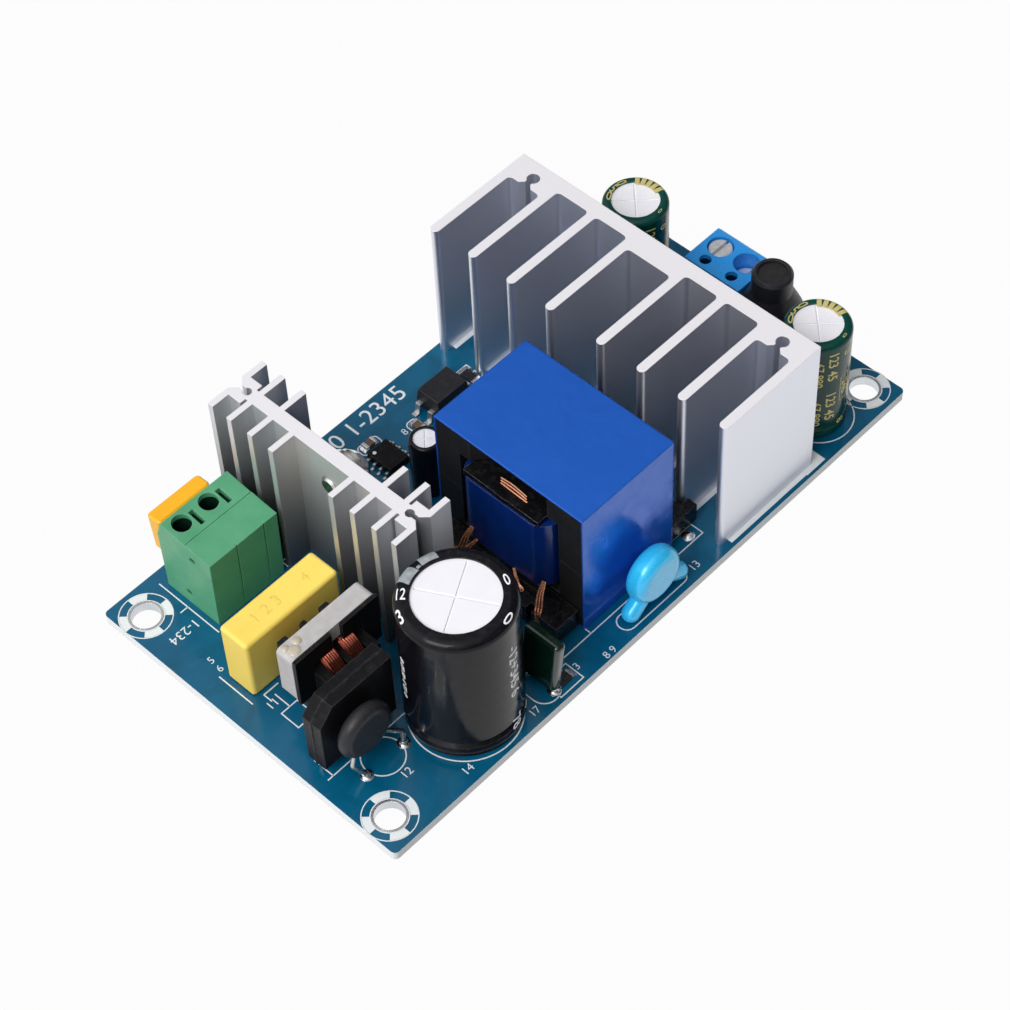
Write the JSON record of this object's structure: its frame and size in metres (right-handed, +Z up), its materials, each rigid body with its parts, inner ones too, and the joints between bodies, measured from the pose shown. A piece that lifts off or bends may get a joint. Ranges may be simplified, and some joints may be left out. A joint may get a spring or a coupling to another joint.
{
  "type": "open frame power supply",
  "caption": "Open circuit board mains power supply with finned heatsinks, taped transformer, round capacitors and terminals at both ends.",
  "frame": {"origin": "centre of the four fixing holes on the underside of the board", "axes": "+X along the board from the mains end to the output end, +Y across it, +Z up out of the component side"},
  "size_m": [0.107, 0.0584, 0.0289],
  "materials": {
    "board": "gloss solder mask over glass laminate",
    "solder": "bright tin",
    "tinned_leads": "satin tin plate",
    "green_housing": "moulded, slight sheen",
    "spring_steel": "satin",
    "orange_case": "moulded, semi gloss",
    "yellow_case": "moulded, semi gloss",
    "grey_ferrite": "ground sintered ferrite",
    "black_ferrite": "sintered ferrite",
    "black_moulding": "epoxy moulding, matt",
    "enamelled_copper": "clear enamel over copper",
    "can_aluminium": "satin can end",
    "black_sleeve": "gloss shrink sleeve",
    "green_sleeve": "gloss shrink sleeve",
    "heatsink_aluminium": "extruded, sawn ends",
    "screw_steel": "nickel plated",
    "blue_tape": "polyester film tape",
    "winding_tape": "polyester film tape",
    "blue_coating": "dipped epoxy",
    "black_coating": "dipped epoxy, matt",
    "green_coating": "dipped epoxy",
    "chip_ceramic": "fired ceramic with tinned ends",
    "grey_pad": "filled silicone",
    "blue_housing": "moulded, slight sheen"
  },
  "bodies": {
    "supply": {"auxiliary_capacitor_can": "can_aluminium", "auxiliary_capacitor_sleeve": "black_sleeve", "bridge_rectifier": "black_moulding", "bridge_rectifier_leads": "tinned_leads", "bulk_capacitor_can": "can_aluminium", "bulk_capacitor_sleeve": "black_sleeve", "chip_capacitors": "chip_ceramic", "chip_resistors": "chip_ceramic", "choke_bobbin": "black_moulding", "choke_core": "grey_ferrite", "choke_pins": "tinned_leads", "choke_windings": "enamelled_copper", "circuit_board": "board", "control_chip": "black_moulding", "control_chip_leads": "tinned_leads", "dipped_capacitor": "green_coating", "dipped_capacitor_leads": "tinned_leads", "heatsink_posts": "tinned_leads", "input_fuse": "orange_case", "input_fuse_leads": "tinned_leads", "input_terminal_housing": "green_housing", "input_terminal_pins": "tinned_leads", "input_terminal_springs": "spring_steel", "isolation_capacitor": "blue_coating", "large_heatsink": "heatsink_aluminium", "line_capacitor": "yellow_case", "line_capacitor_leads": "tinned_leads", "optocoupler": "black_moulding", "optocoupler_leads": "tinned_leads", "output_capacitor_left_can": "can_aluminium", "output_capacitor_left_sleeve": "green_sleeve", "output_capacitor_right_can": "can_aluminium", "output_capacitor_right_sleeve": "green_sleeve", "output_inductor_core": "black_ferrite", "output_inductor_sleeve": "black_sleeve", "output_rectifier_body": "black_moulding", "output_rectifier_pad": "grey_pad", "output_rectifier_screw": "screw_steel", "output_rectifier_tab": "tinned_leads", "output_terminal_cages": "screw_steel", "output_terminal_housing": "blue_housing", "small_heatsink": "heatsink_aluminium", "solder_joints": "solder", "switch_transistor_body": "black_moulding", "switch_transistor_screw": "screw_steel", "switch_transistor_tab": "tinned_leads", "thermistor": "black_coating", "thermistor_leads": "tinned_leads", "transformer_bobbin": "black_moulding", "transformer_core_lower": "black_ferrite", "transformer_core_upper": "black_ferrite", "transformer_pins": "tinned_leads", "transformer_tape": "blue_tape", "transformer_winding": "winding_tape", "transformer_wires": "enamelled_copper"},
    "clamp_screw_far": {"output_terminal_screw_far": "screw_steel"},
    "clamp_screw_near": {"output_terminal_screw_near": "screw_steel"}
  },
  "joints": [
    {"name": "clamp_far_travel", "type": "slide", "parent": "supply", "child": "clamp_screw_far", "axis": [0, 0, 1], "range_m": [-0.0026, 0]},
    {"name": "clamp_near_travel", "type": "slide", "parent": "supply", "child": "clamp_screw_near", "axis": [0, 0, 1], "range_m": [0, 0.0026]}
  ]
}
